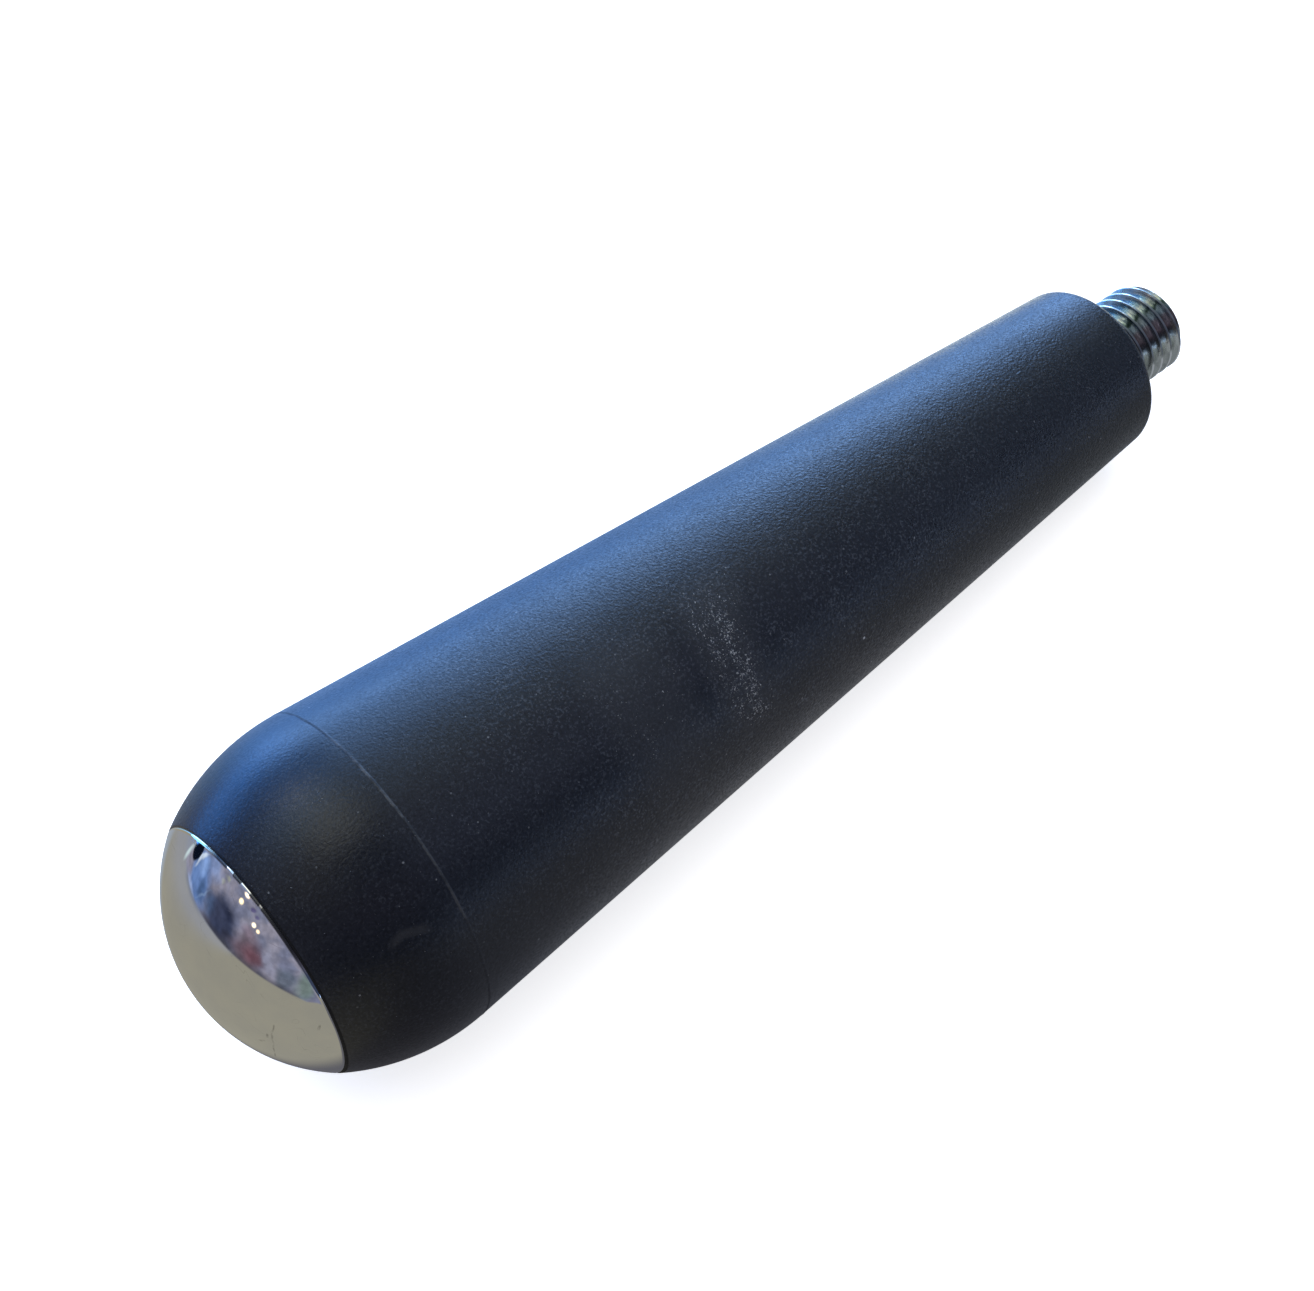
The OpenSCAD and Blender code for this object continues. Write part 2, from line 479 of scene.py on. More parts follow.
# ---------------------------------------------------------------- plastic
def grip_plastic():
    mat, n, out = material("grip_plastic_matte")
    p = n.add("ShaderNodeTexCoord").outputs["Object"]
    px, py, pz = n.xyz(p)
    # place round the handle: angle from -Y towards +Z, in degrees
    ang = n.m("MULTIPLY", n.m("ARCTAN2", pz, n.m("MULTIPLY", py, -1.0)), 180 / math.pi)
    xmm = n.m("MULTIPLY", px, 1000.0)

    # spark-eroded mould texture: rounded grains, with finer pits in them, rubbed
    # smoother towards the butt, where the palm rests
    warp = n.noise(p, 1100.0, 1.0)[1]
    pw = n.v("ADD", p, n.v("SCALE", n.v("SUBTRACT", warp, (0.5, 0.5, 0.5)), scale=0.0003))
    grain = n.noise(pw, 3150.0, 1.5, 0.55)[0]
    pits = n.noise(p, 6200.0, 1.0, 0.5)[0]
    broad = n.noise(p, 260.0, 3.0, 0.6)[0]
    depth = n.sum(0.36, n.ramp(xmm, -108.0, -84.0, 0.0, 0.27), n.ramp(xmm, -84.0, -46.0, 0.0, 0.42),
                  n.ramp(xmm, -46.0, -16.0, 0.0, 0.16), n.ramp(xmm, -14.0, -3.0, 0.0, -0.45))
    height = n.m("MULTIPLY", n.sum(grain, n.m("MULTIPLY", pits, 0.2)), depth)

    # handling: broad faint patches, a scuffed ring and a fainter one behind it
    patch = n.noise(p, 55.0, 3.0, 0.6)[0]
    slow = n.m("MULTIPLY", n.m("SUBTRACT", n.noise(p, 120.0, 2.0)[0], 0.5), 5.0)
    # the ring leans a little: its place along the handle follows the angle
    lean = n.m("MULTIPLY", n.m("SINE", n.m("MULTIPLY", n.m("SUBTRACT", ang, 10.0), math.pi / 62)), 1.6)
    lean = n.sum(lean, n.ramp(ang, 42.0, 76.0, 0.7, 1.8))
    xs = n.sum(xmm, slow, lean)
    reach = n.prod(n.ramp(ang, 11.0, 20.0), n.ramp(ang, 63.0, 87.0, 1.0, 0.0))
    streams = n.m("MAXIMUM", n.band(xs, -68.8, 0.6, 1.4), n.m("MULTIPLY", n.band(xs, -71.0, 0.4, 1.3), 0.85))
    around = n.band(xs, -69.7, 1.8, 3.4)
    scuff = n.prod(n.m("MAXIMUM", streams, n.m("MULTIPLY", around, 0.62)), reach)
    behind = n.prod(n.band(xs, -81.4, 2.0, 5.5), n.ramp(ang, 8.0, 22.0), n.ramp(ang, 66.0, 84.0, 1.0, 0.0))
    bent = n.sum(ang, n.m("MULTIPLY", n.m("ABSOLUTE", n.m("ADD", xmm, 118.2)), 1.1), n.m("MULTIPLY", slow, 0.6))
    haze = n.prod(n.band(xmm, -117.6, 1.2, 1.4), n.band(bent, 37.6, 0.5, 1.8))
    clumps = n.ramp(n.noise(p, 700.0, 2.0, 0.6)[0], 0.38, 0.60)

    # rubbed grain: the scuffs leave short crooked strokes on the tops of the
    # grains, thick in the streams and thin around them, drawn out round the grip
    long = n.v("MULTIPLY", pw, (1.7, 1.0, 1.0))
    ridge = n.m("ABSOLUTE", n.m("SUBTRACT", n.noise(long, 2900.0, 1.0, 0.5)[0], 0.5))
    stroke = n.ramp(ridge, 0.010, 0.034, 1.0, 0.0)
    crumb = n.noise(long, 3000.0, 2.0, 0.6)[0]
    share = n.sum(n.prod(scuff, n.ramp(clumps, 0.0, 1.0, 0.66, 1.0)), n.prod(behind, clumps, 0.42))
    limit = n.sum(0.71, n.m("MULTIPLY", share, -0.204))
    kept = n.ramp(n.m("SUBTRACT", crumb, limit), 0.0, 0.07)
    blobs = n.ramp(n.m("SUBTRACT", n.noise(p, 4200.0, 1.0, 0.5)[0], limit), 0.09, 0.14)
    # and a few single pale grains anywhere
    dots = n.voronoi(p, 3300.0)
    cell = n.xyz(dots[1])
    lone = n.prod(n.ramp(dots[0], 0.20, 0.50, 1.0, 0.0), n.m("LESS_THAN", cell[0], 0.004), n.ramp(cell[1], 0.0, 1.0, 0.05, 0.5))
    speck = n.m("MAXIMUM", n.m("MAXIMUM", n.m("MULTIPLY", stroke, kept), blobs), lone)
    # one clear white speck
    sx, sa = -55.0, math.radians(14.7)
    sr = taper_r(sx)
    spot = n.v("DISTANCE", p, (sx * MM, -sr * math.cos(sa) * MM, sr * math.sin(sa) * MM))
    spot = n.ramp(spot, 0.00010, 0.00022, 1.0, 0.0)

    base = n.mix(n.ramp(patch, 0.35, 0.7), (0.0085, 0.0102, 0.0150), (0.0120, 0.0138, 0.0185))
    # fine dust caught on the grain, a little everywhere, least at the butt
    dust = n.ramp(n.noise(p, 3300.0, 2.0, 0.6)[0], 0.52, 0.64)
    dust_more = n.ramp(n.noise(p, 150.0, 3.0, 0.65)[0], 0.35, 0.7, 0.45, 1.05)
    dust_more = n.prod(dust_more, n.ramp(xmm, -112.0, -90.0, 0.36, 1.0), n.ramp(xmm, -40.0, -14.0, 1.0, 0.62))
    base = n.mix(n.m("MULTIPLY", dust, dust_more, clamp=True), base, (0.086, 0.092, 0.102))
    dark = n.ramp(grain, 0.34, 0.48, 0.75, 0.0)
    base = n.mix(dark, base, (0.002, 0.003, 0.005))
    # a smoky film in patches round the middle of the grip
    smoke = n.prod(n.ramp(n.noise(p, 85.0, 4.0, 0.65)[0], 0.44, 0.66), n.band(xmm, -76.0, 12.0, 18.0))
    film = n.sum(n.prod(scuff, 0.16), n.prod(around, reach, 0.14), n.prod(behind, 0.24), n.prod(haze, 0.30),
                 n.m("MULTIPLY", smoke, 0.09))
    base = n.mix(film, base, (0.090, 0.086, 0.080))
    # the moulding line is rubbed pale on top, unevenly
    nick = n.noise(p, 420.0, 3.0, 0.65)[0]
    seam = n.band(n.m("ADD", xmm, n.m("MULTIPLY", n.m("SUBTRACT", nick, 0.5), 0.3)), -TAPER_LEN, 0.07, 0.13)
    rubbed = n.prod(n.ramp(ang, 22.0, 32.0), n.ramp(ang, 58.0, 74.0, 0.55, 1.0), n.ramp(ang, 96.0, 104.0, 1.0, 0.0),
                    n.ramp(nick, 0.42, 0.56, 0.15, 1.0))
    base = n.mix(n.m("MULTIPLY", seam, n.sum(0.10, n.m("MULTIPLY", rubbed, 0.68))), base, (0.150, 0.147, 0.140))
    base = n.mix(n.m("MULTIPLY", speck, 0.9, clamp=True), base, (0.60, 0.585, 0.56))
    base = n.mix(spot, base, (0.75, 0.74, 0.72))
    # painted shade: the lip beside the cap is darkened to a plain black edge where the gap's shadow falls, fading out
    # towards the far side
    lip_gap_shade = n.m("MULTIPLY", n.ramp(xmm, RIM_X + 0.16, RIM_X + 0.26, 1.0, 0.0), n.ramp(ang, 92.0, 112.0, 1.0, 0.0))
    base = n.mix(lip_gap_shade, base, (0.001, 0.001, 0.002))

    # the valleys between the grains are dull
    valley = n.ramp(n.noise(p, 3600.0, 1.0, 0.5)[0], 0.36, 0.56, 0.16, -0.03)
    valley = n.m("MULTIPLY", valley, n.ramp(xmm, -116.0, -96.0, 0.4, 1.0))
    rough = n.sum(0.33, n.m("MULTIPLY", n.m("SUBTRACT", broad, 0.5), 0.14), n.ramp(xmm, -80.0, -20.0, 0.0, -0.03), valley)
    rough = n.m("ADD", rough, n.sum(n.m("MULTIPLY", film, 0.4), n.m("MULTIPLY", lip_gap_shade, 0.4), n.m("MULTIPLY", seam, 0.25)), clamp=True)

    b = n.add("ShaderNodeBsdfPrincipled")
    n.put(b.inputs["Base Color"], base)
    n.put(b.inputs["Roughness"], rough)
    n.put(b.inputs["Normal"], n.bump(height, 1.0, 0.00009))
    b.inputs["IOR"].default_value = 1.5
    n.t.links.new(b.outputs[0], out.inputs[0])
    return mat


# ---------------------------------------------------------------- chrome
def cap_chrome():
    mat, n, out = material("cap_chrome_mirror")
    p = n.add("ShaderNodeTexCoord").outputs["Object"]
    px, py, pz = n.xyz(p)
    rad = n.m("MULTIPLY", n.m("SQRT", n.sum(n.m("MULTIPLY", py, py), n.m("MULTIPLY", pz, pz))), 1000.0)
    # fine handling scratches: thin level lines of stretched, turned noise
    lines = None
    for turn, sc, lim in ((0.5, 700.0, 0.006), (2.1, 520.0, 0.005), (1.2, 300.0, 0.004)):
        rot = n.add("ShaderNodeVectorRotate", rotation_type="X_AXIS")
        n.put(rot.inputs["Vector"], p)
        rot.inputs["Angle"].default_value = turn
        st = n.v("MULTIPLY", rot.outputs[0], (1.0, 1.0, 0.12))
        f = n.noise(st, sc, 1.0, 0.4)[0]
        line = n.ramp(n.m("ABSOLUTE", n.m("SUBTRACT", f, 0.5)), 0.0, lim, 1.0, 0.0)
        gate = n.ramp(n.noise(p, 240.0 + 60 * turn, 1.0)[0], 0.56, 0.66)
        line = n.m("MULTIPLY", line, gate)
        lines = line if lines is None else n.m("MAXIMUM", lines, line)
    # a few longer hairline marks low on the camera's side
    def mark(y0, z0, y1, z1, width):
        """A hairline between two places on the dome, seen along its axis, mm."""
        ly, lz = y1 - y0, z1 - z0
        length = math.hypot(ly, lz)
        ty, tz = ly / length, lz / length
        qy = n.m("SUBTRACT", n.m("MULTIPLY", py, 1000.0), y0)
        qz = n.m("SUBTRACT", n.m("MULTIPLY", pz, 1000.0), z0)
        along = n.sum(n.m("MULTIPLY", qy, ty), n.m("MULTIPLY", qz, tz))
        bend = n.m("MULTIPLY", n.m("SUBTRACT", n.noise(p, 420.0, 2.0)[0], 0.5), 0.55)
        across = n.sum(n.m("MULTIPLY", qy, -tz), n.m("MULTIPLY", qz, ty), bend)
        on = n.ramp(n.m("ABSOLUTE", across), width * 0.4, width, 1.0, 0.0)
        return n.prod(on, n.ramp(along, 0.0, 0.4), n.ramp(along, length - 0.5, length, 1.0, 0.0))
    dark_lines = None
    for args in ((-9.9, 3.4, -9.5, -0.4, 0.11), (-9.6, 0.0, -8.9, -4.2, 0.10), (-8.1, -0.8, -8.9, 0.0, 0.22),
                 (-9.3, 1.5, -9.2, 0.4, 0.14), (-13.3, 4.3, -13.2, 3.2, 0.13)):
        one = mark(*args)
        dark_lines = one if dark_lines is None else n.m("MAXIMUM", dark_lines, one)
    smear = n.ramp(n.noise(p, 120.0, 4.0, 0.65)[0], 0.45, 0.8)
    cloud = n.noise(p, 190.0, 3.0, 0.6)[0]
    base = n.mix(n.ramp(cloud, 0.3, 0.7), (0.765, 0.768, 0.768), (0.830, 0.825, 0.795))
    base = n.mix(n.m("MULTIPLY", lines, 0.22), base, (0.36, 0.35, 0.32))
    base = n.mix(n.m("MULTIPLY", smear, 0.07), base, (0.60, 0.60, 0.58))
    streaky = n.ramp(n.noise(p, 900.0, 2.0, 0.6)[0], 0.35, 0.65, 0.15, 1.0)
    base = n.mix(n.prod(dark_lines, streaky, 0.50), base, (0.22, 0.21, 0.19))
    # painted shade: the outer part of the rolled edge, next to the rim's gap, is darkened, and left bright at a few
    # angles
    ang = n.m("MULTIPLY", n.m("ARCTAN2", pz, n.m("MULTIPLY", py, -1.0)), 180 / math.pi)
    at = n.m("ADD", ang, n.m("MULTIPLY", n.m("SUBTRACT", n.noise(p, 900.0, 2.0, 0.6)[0], 0.5), 4.0))
    rim_lit_gaps = n.sum(n.band(at, 90.2, 1.5, 0.8), n.band(at, 80.0, 2.4, 0.8), n.m("MULTIPLY", n.band(at, 71.0, 0.5, 0.6), 0.7),
                  n.ramp(at, 104.0, 107.0), n.ramp(at, 52.0, 36.0, 0.0, 1.0))
    rim_gap_shade = n.prod(n.ramp(rad, edge_c[0] + 0.18, edge_c[0] + 0.29), n.m("SUBTRACT", 1.0, rim_lit_gaps, clamp=True))
    base = n.mix(n.m("MULTIPLY", rim_gap_shade, 0.93), base, (0.035, 0.035, 0.037))
    # the far edge is faintly straw-coloured
    straw = n.m("MULTIPLY", n.ramp(rad, edge_c[0] + 0.20, edge_c[0] + 0.29), n.ramp(ang, 98.0, 106.0))
    base = n.mix(straw, base, (0.90, 0.74, 0.46))
    rough = n.sum(0.022, n.m("MULTIPLY", smear, 0.05), n.m("MULTIPLY", lines, 0.12), n.m("MULTIPLY", dark_lines, 0.2),
                  n.m("MULTIPLY", rim_gap_shade, 0.3))
    wave = n.noise(p, 110.0, 2.0, 0.5)[0]
    b = n.add("ShaderNodeBsdfPrincipled")
    b.inputs["Metallic"].default_value = 1.0
    n.put(b.inputs["Base Color"], base)
    n.put(b.inputs["Roughness"], rough)
    n.put(b.inputs["Normal"], n.bump(wave, 0.10, 0.0001))
    n.t.links.new(b.outputs[0], out.inputs[0])
    return mat


# ---------------------------------------------------------------- zinc
def zinc_steel():
    mat, n, out = material("zinc_plate")
    p = n.add("ShaderNodeTexCoord").outputs["Object"]
    px, py, pz = n.xyz(p)
    rad = n.m("MULTIPLY", n.m("SQRT", n.sum(n.m("MULTIPLY", py, py), n.m("MULTIPLY", pz, pz))), 1000.0)
    ang = n.m("MULTIPLY", n.m("ARCTAN2", pz, n.m("MULTIPLY", py, -1.0)), 180 / math.pi)
    outer = n.ramp(rad, 4.83, 4.89)
    # root marks where the painted shade of the thread's roots goes, kept off the end face
    root = n.prod(n.ramp(rad, 4.92, 5.06, 1.0, 0.0), outer)
    blot = n.noise(p, 600.0, 3.0, 0.6)[0]
    hue = n.noise(p, 300.0, 2.0, 0.5)[0]
    plain = n.mix(n.ramp(hue, 0.38, 0.62), (0.56, 0.64, 0.62), (0.64, 0.68, 0.61))
    # painted reflection by angle round the stud: the flanks lighter low on the camera's side, darker in a band near 34
    # degrees, and lighter with warm tints near 83 and 90 degrees
    base = n.mix(n.m("MULTIPLY", n.ramp(ang, 49.0, 41.0), 0.6), plain, (0.88, 0.90, 0.86))
    base = n.mix(n.m("MULTIPLY", n.band(ang, 34.5, 3.5, 5.0), 0.85), base, (0.33, 0.32, 0.29))
    base = n.mix(n.m("MULTIPLY", n.band(ang, 83.0, 3.0, 4.0), 0.25), base, (0.86, 0.85, 0.77))
    base = n.mix(n.m("MULTIPLY", n.band(ang, 90.0, 2.5, 4.5), 0.60), base, (0.84, 0.76, 0.63))
    # painted reflection and shade on the flanks, placed by angle round the stud: a darker teal
    # far side, green-black blotches on top for dark reflections and a brown-violet band below them
    # for the reflection of the grip's front face; on the crests, painted shade in front and up to
    # about 105 degrees, painted highlights past that on the far side
    crest = n.ramp(rad, 5.89, 5.96)
    flank = n.m("SUBTRACT", 1.0, crest)
    front_crest_shade = n.prod(crest, n.ramp(ang, 90.0, 81.0), n.ramp(ang, 8.0, 16.0))
    stir = n.m("ADD", ang, n.m("MULTIPLY", n.m("SUBTRACT", n.noise(p, 1300.0, 2.0, 0.6)[0], 0.5), 24.0))
    base = n.mix(n.prod(n.ramp(stir, 88.0, 95.0), flank, n.ramp(rad, 5.25, 5.75, 0.30, 0.76)), base, (0.36, 0.46, 0.45))
    base = n.mix(n.m("MULTIPLY", n.band(n.m("ADD", ang, n.m("MULTIPLY", hue, 10.0)), 52.0, 8.0, 7.0), 0.60), base, (0.50, 0.36, 0.33))
    base = n.mix(n.m("MULTIPLY", n.ramp(blot, 0.48, 0.66), 0.45), base, (0.16, 0.20, 0.19))
    base = n.mix(n.prod(n.band(stir, 75.5, 1.2, 3.4), flank, n.ramp(blot, 0.40, 0.54, 0.35, 0.85)), base, (0.070, 0.115, 0.085))
    # painted shade on the lowest flanks and a painted highlight on the crests there
    base = n.mix(n.prod(n.ramp(ang, 18.0, 4.0), flank, 0.4), base, (0.34, 0.36, 0.34))
    base = n.mix(n.prod(crest, n.ramp(ang, 13.0, 7.0)), base, (0.97, 0.98, 0.97))
    far = n.mix(n.ramp(ang, 102.0, 110.0), (0.25, 0.25, 0.225), (0.84, 0.75, 0.60))
    base = n.mix(n.prod(crest, n.ramp(ang, 84.0, 92.0)), base, far)
    base = n.mix(n.m("MULTIPLY", front_crest_shade, 0.80), base, (0.17, 0.185, 0.185))
    # painted shade: the thread's roots are darkened
    base = n.mix(n.m("MULTIPLY", root, 0.8), base, (0.035, 0.040, 0.045))
    base = n.mix(outer, plain, base)
    rough = n.sum(0.12, n.m("MULTIPLY", blot, 0.14), n.m("MULTIPLY", root, 0.2), n.m("MULTIPLY", front_crest_shade, 0.12))
    # faint marks of rolling, running round with the thread, and a little pitting
    st = n.v("MULTIPLY", p, (9.0, 1.0, 1.0))
    marks = n.noise(st, 900.0, 2.0, 0.5)[0]
    pits = n.noise(p, 1900.0, 2.0, 0.5)[0]
    b = n.add("ShaderNodeBsdfPrincipled")
    b.inputs["Metallic"].default_value = 1.0
    n.put(b.inputs["Base Color"], base)
    n.put(b.inputs["Roughness"], rough)
    n.put(b.inputs["Normal"], n.bump(n.sum(marks, n.m("MULTIPLY", pits, 0.8)), 0.35, 0.00006))
    n.t.links.new(b.outputs[0], out.inputs[0])
    return mat


for piece, mat in ((grip, grip_plastic()), (cap, cap_chrome()), (stud, zinc_steel())):
    piece.data.materials.clear()
    piece.data.materials.append(mat)


# ---------------------------------------------------------------- room
# The soft surroundings are painted by direction. Past the end of the table
# the floor glows with the same room, painted as it is seen from the cap.
CAP_EYE = (-0.1295, -0.002, 0.0105)

# azimuth and reach, elevation and reach, inner part, tilt, amount, tint as seen
# in the chrome (0 to 255)
SHAPES = (
    (137.0, 11.0, 14.0, 8.0, 0.20, -25.0, 0.80, (120, 143, 192)),
    (134.0, 13.0, -1.0, 13.5, 0.50, 0.0, 0.95, (92, 122, 176)),
    (132.0, 7.0, 5.0, 7.0, 0.15, 0.0, 0.90, (130, 160, 214)),
    (139.0, 5.0, -1.5, 6.0, 0.15, 0.0, 0.75, (60, 84, 124)),
    (131.5, 7.5, -9.5, 3.2, 0.30, 0.0, 0.80, (148, 166, 208)),
    (128.5, 1.5, 3.5, 8.0, 0.30, -12.0, 0.85, (210, 224, 242)),
    (142.5, 8.0, 0.5, 0.8, 0.20, 54.0, 0.60, (128, 152, 190)),
    (139.8, 6.5, -4.0, 0.7, 0.20, 56.0, 0.50, (120, 146, 190)),
    (157.0, 16.5, 1.0, 15.5, 0.45, 0.0, 0.95, (48, 56, 82)),
    (147.5, 5.5, -1.0, 10.0, 0.20, -15.0, 0.55, (74, 96, 134)),
    (161.0, 8.0, 7.0, 3.4, 0.20, 0.0, 0.65, (32, 36, 56)),
    (166.0, 6.5, -2.5, 5.5, 0.20, 0.0, 0.55, (46, 44, 56)),
    (178.5, 13.5, -1.5, 15.0, 0.40, 0.0, 0.85, (92, 75, 87)),
    (175.5, 6.5, 10.0, 5.0, 0.10, 0.0, 0.50, (126, 104, 120)),
    (180.0, 9.0, -1.5, 9.0, 0.00, 0.0, 0.55, (112, 64, 74)),
    (190.5, 6.0, 1.0, 13.0, 0.30, 0.0, 0.80, (132, 134, 156)),
    (201.0, 9.0, -7.0, 11.0, 0.35, 0.0, 0.85, (92, 102, 118)),
    (212.0, 7.5, -7.5, 15.0, 0.30, 0.0, 0.85, (104, 122, 117)),
    (146.6, 2.6, 18.5, 2.8, 0.20, 0.0, 0.70, (160, 164, 150)),
    (146.0, 1.9, 14.0, 2.0, 0.20, 0.0, 0.55, (152, 158, 148)),
    (172.5, 2.3, 23.0, 1.8, 0.30, 0.0, 0.80, (74, 68, 116)),
    (176.3, 1.7, 21.2, 1.5, 0.30, 0.0, 0.70, (74, 68, 116)),
)
# a dark thing near the left edge, sharper than the rest
DARK = (122.6, 4.8, 0.2, 6.4, 0.80, 0.0)
# small lamps: azimuth, elevation, inner and outer reach, colour. The high one that only
# glints on the cap's rim is GLINT, given apart
LAMPS = (
    (163.0, 20.0, 0.7, 2.1, (2.6, 2.1, 1.2)),
    (163.9, 26.0, 0.8, 2.8, (2.7, 2.2, 1.6)),
    (176.6, 15.6, 0.6, 1.9, (2.8, 2.3, 1.6)),
    (180.2, 14.0, 0.4, 1.6, (2.2, 1.7, 1.1)),
)
OVERHEAD = (108.0, 82.7, 6.0, 22.0, (1.64, 1.66, 1.42))
GLINT = (98.0, 54.0, 2.5, 4.0, (10.0, 9.6, 8.6))
CHROME = 0.80            # how much the chrome sends back


def lit(tint):
    """Light that is seen in the chrome as the given tint."""
    out = []
    for c in tint:
        c /= 255.0
        out.append((c / 12.92 if c <= 0.04045 else ((c + 0.055) / 1.055) ** 2.4) / CHROME)
    return tuple(out)


def angles(n, d):
    """Azimuth from 0 to 360 and elevation of a direction, in degrees."""
    x, y, z = n.xyz(d)
    el = n.m("MULTIPLY", n.m("ARCSINE", z), 180 / math.pi)
    az = n.m("MULTIPLY", n.m("ARCTAN2", y, x), 180 / math.pi)
    return n.m("FLOORED_MODULO", n.m("ADD", az, 360.0), 360.0), el


def oval(n, az, el, a0, ra, e0, re, inner, tilt=0.0):
    """A soft oval of directions: 1 inside, 0 from its edge on."""
    da, de = n.m("SUBTRACT", az, a0), n.m("SUBTRACT", el, e0)
    c, s = math.cos(math.radians(tilt)), math.sin(math.radians(tilt))
    u = n.m("DIVIDE", n.sum(n.m("MULTIPLY", da, c), n.m("MULTIPLY", de, s)), ra)
    v = n.m("DIVIDE", n.m("SUBTRACT", n.m("MULTIPLY", de, c), n.m("MULTIPLY", da, s)), re)
    r = n.m("SQRT", n.sum(n.m("MULTIPLY", u, u), n.m("MULTIPLY", v, v)))
    return n.ramp(r, inner, 1.0, 1.0, 0.0)


def table_edge(n, az):
    """Elevation of the table's end, seen from the cap."""
    t1 = n.ramp(az, 160.0, 215.0, smooth=False)
    t2 = n.ramp(az, 155.0, 122.0, smooth=False)
    return n.sum(-8.2, n.prod(t1, t1, -11.0), n.m("MULTIPLY", t2, -2.8))


def cone(n, d, az, el, inner, outer):
    """A round spot of directions, angles in degrees."""
    a, e = math.radians(az), math.radians(el)
    c = (math.cos(e) * math.cos(a), math.cos(e) * math.sin(a), math.sin(e))
    return n.ramp(n.v("DISTANCE", d, c), math.radians(inner), math.radians(outer), 1.0, 0.0)


def room(n, d, az, el):
    """The plain room past the table's end."""
    wob = n.v("SUBTRACT", n.noise(d, 5.0, 2.0)[1], (0.5, 0.5, 0.5))
    wx, wy, wz = n.xyz(wob)
    a = n.m("ADD", az, n.m("MULTIPLY", wx, 9.0))
    e = n.m("ADD", el, n.m("MULTIPLY", wy, 7.0))
    col = n.mix(n.ramp(wz, -0.12, 0.12), lit((114, 118, 142)), lit((140, 138, 156)))
    for a0, ra, e0, re, inner, tilt, amount, c in SHAPES:
        col = n.mix(n.m("MULTIPLY", oval(n, a, e, a0, ra, e0, re, inner, tilt), amount), col, lit(c))
    # soft unevenness, and a darker line along the table's end
    fine = n.ramp(n.noise(d, 14.0, 2.0, 0.5)[0], 0.3, 0.7, 0.84, 1.16)
    col = n.v("SCALE", col, scale=fine)
    col = n.mix(oval(n, az, el, *DARK), col, lit((9, 15, 30)))
    above = n.m("SUBTRACT", el, table_edge(n, az))
    foot = n.prod(n.ramp(above, 0.2, 5.0, 1.0, 0.0), n.ramp(az, 138.0, 150.0), n.ramp(az, 206.0, 212.0, 1.0, 0.0))
    return n.mix(n.m("MULTIPLY", foot, 0.65), col, (0.046, 0.044, 0.055))
